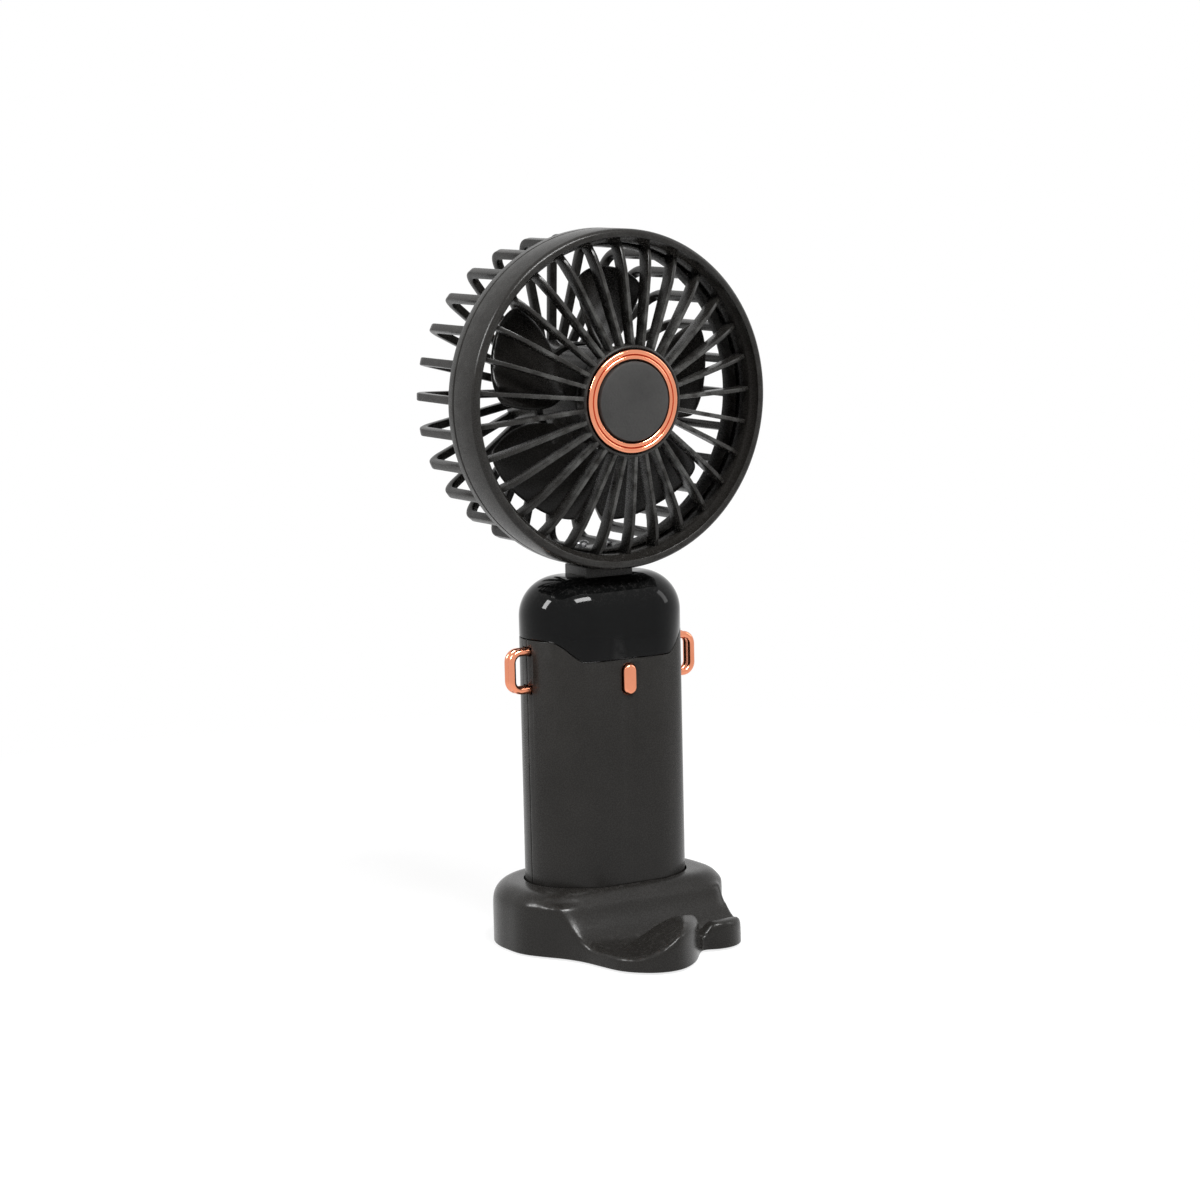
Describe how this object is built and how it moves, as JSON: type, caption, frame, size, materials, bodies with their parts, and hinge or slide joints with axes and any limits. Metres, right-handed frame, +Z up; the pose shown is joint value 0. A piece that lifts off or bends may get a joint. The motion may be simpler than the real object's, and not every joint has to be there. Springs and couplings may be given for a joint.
{
  "type": "desk fan",
  "caption": "Hand-held fan with a caged head that tilts back, standing in a weighted dock with a ledge for a phone and lanyard loops at the handle's sides.",
  "frame": {"origin": "on the handle's axis, at desk level, on the underside of the dock's pad", "axes": "+Z up along the handle, -Y towards the front, where the air blows, +X to the right seen from the front"},
  "size_m": [0.1, 0.0803, 0.213],
  "materials": {
    "satin_black": "satin moulded",
    "gloss_black": "polished",
    "badge_black": "fine matt texture",
    "rose_gold": "polished rose gold plating",
    "steel": "satin",
    "winding": "enamelled wire",
    "magnet": "sintered",
    "board": "solder mask",
    "cell_wrap": "shrink sleeve",
    "rubber": "soft matt"
  },
  "bodies": {
    "dock": {"dock_shell": "satin_black", "dock_plate": "satin_black", "dock_weight": "steel", "dock_pad": "rubber", "dock_screw_1": "steel", "dock_screw_2": "steel", "dock_screw_3": "steel", "dock_screw_4": "steel"},
    "handle": {"front_shell": "satin_black", "rear_shell": "satin_black", "top_cap": "gloss_black", "battery_cell": "cell_wrap", "main_board": "board", "power_switch": "steel", "charge_board": "board", "usb_socket": "steel", "lanyard_loop_left": "rose_gold", "lanyard_loop_right": "rose_gold", "shell_screw_1": "steel", "shell_screw_2": "steel", "shell_screw_3": "steel", "shell_screw_4": "steel", "hinge_bracket": "steel", "hinge_pin": "steel", "friction_washer_left": "rubber", "friction_washer_right": "rubber"},
    "button": {"power_button": "rose_gold"},
    "head": {"neck_arm": "satin_black", "neck_screw_left": "steel", "neck_screw_right": "steel", "front_grille": "satin_black", "hub_trim_ring": "rose_gold", "hub_badge": "badge_black", "rear_cage": "satin_black", "rear_hub_cover": "satin_black", "motor_base": "steel", "motor_board": "board", "stator_core": "steel", "stator_coil_1": "winding", "stator_coil_2": "winding", "stator_coil_3": "winding", "stator_coil_4": "winding", "stator_coil_5": "winding", "stator_coil_6": "winding", "front_bearing": "steel", "rear_bearing": "steel", "motor_screw_1": "steel", "motor_screw_2": "steel", "motor_screw_3": "steel"},
    "rotor": {"impeller": "satin_black", "rotor_can": "steel", "magnet_ring": "magnet", "motor_shaft": "steel", "shaft_clip": "steel"}
  },
  "joints": [
    {"name": "dock_lift", "type": "slide", "parent": "dock", "child": "handle", "axis": [0, 0, 1], "range_m": [0, 0.03]},
    {"name": "head_tilt", "type": "hinge", "parent": "handle", "child": "head", "pos_m": [0, 0, 0.094], "axis": [-1, 0, 0], "range_deg": [0, 90]},
    {"name": "impeller_spin", "type": "hinge", "parent": "head", "child": "rotor", "pos_m": [0, 0, 0.163], "axis": [0, 1, 0], "continuous": true},
    {"name": "power_press", "type": "slide", "parent": "handle", "child": "button", "axis": [0, 1, 0], "range_m": [0, 0.0006], "stiffness_N_per_m": 1000, "springref_m": -0.0003}
  ]
}
